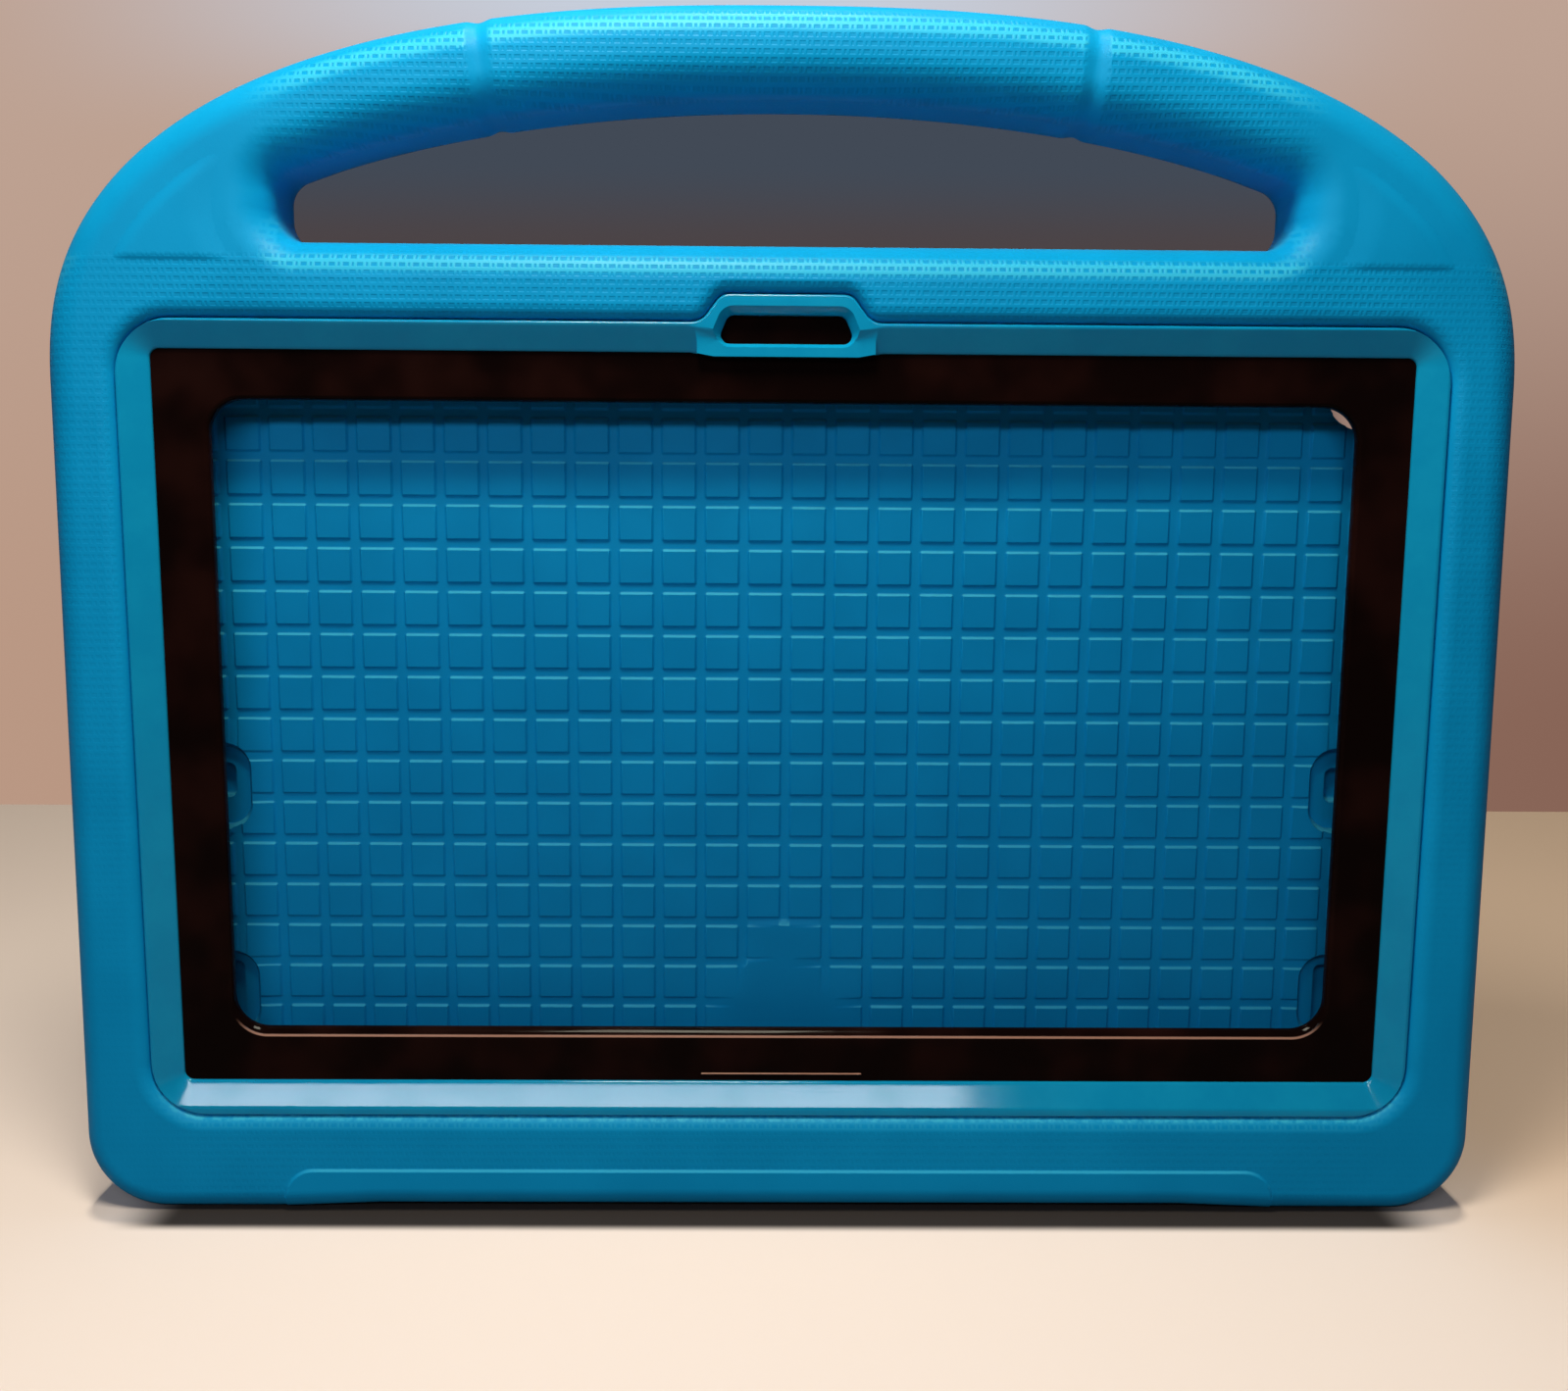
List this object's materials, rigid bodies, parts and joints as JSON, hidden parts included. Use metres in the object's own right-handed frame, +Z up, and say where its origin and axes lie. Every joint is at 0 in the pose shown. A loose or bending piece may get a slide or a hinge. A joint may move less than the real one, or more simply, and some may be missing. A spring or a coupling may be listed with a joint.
{
  "type": "kids tablet case",
  "caption": "Thick moulded foam case for a small tablet, with an arched carrying handle, a snap-in front frame, a dark screen bezel with a clear film, and side port cut-outs.",
  "frame": {"origin": "middle of the bounding box at the bottom, on the surface that the case stands on", "axes": "+Z up towards the handle, +X to the right seen from the front, and the screen side faces -Y"},
  "size_m": [0.2762, 0.024, 0.2309],
  "materials": {
    "foam": "matte moulded foam with a fine woven grain",
    "frame": "satin",
    "bezel": "gloss",
    "film": "clear"
  },
  "bodies": {
    "root": {"foam_case": "foam", "front_frame": "frame", "inner_bezel": "bezel", "screen_film": "film"}
  },
  "joints": []
}
